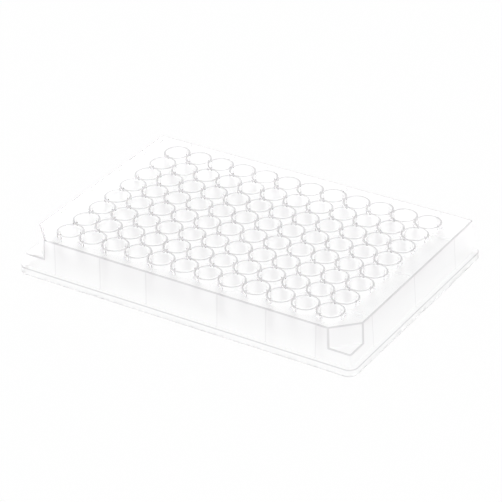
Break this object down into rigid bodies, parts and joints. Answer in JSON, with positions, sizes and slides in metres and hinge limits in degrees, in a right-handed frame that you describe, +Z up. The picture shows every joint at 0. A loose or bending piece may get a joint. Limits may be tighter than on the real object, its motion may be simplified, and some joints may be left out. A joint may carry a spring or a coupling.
{
  "type": "well plate",
  "caption": "Rectangular clear plastic plate with a grid of round blind wells, a leaning skirt on a hollow flange and two notched front corners.",
  "frame": {"origin": "centre of the rectangular foot, on the surface the plate stands on", "axes": "+X along the long side, +Y towards the side with square corners (the two notched corners are on the -Y side), +Z up out of the wells"},
  "size_m": [0.1278, 0.0854, 0.0143],
  "materials": {
    "clear_plastic": "clear, glossy moulded polystyrene"
  },
  "bodies": {
    "root": {"plate": "clear_plastic"}
  },
  "joints": []
}
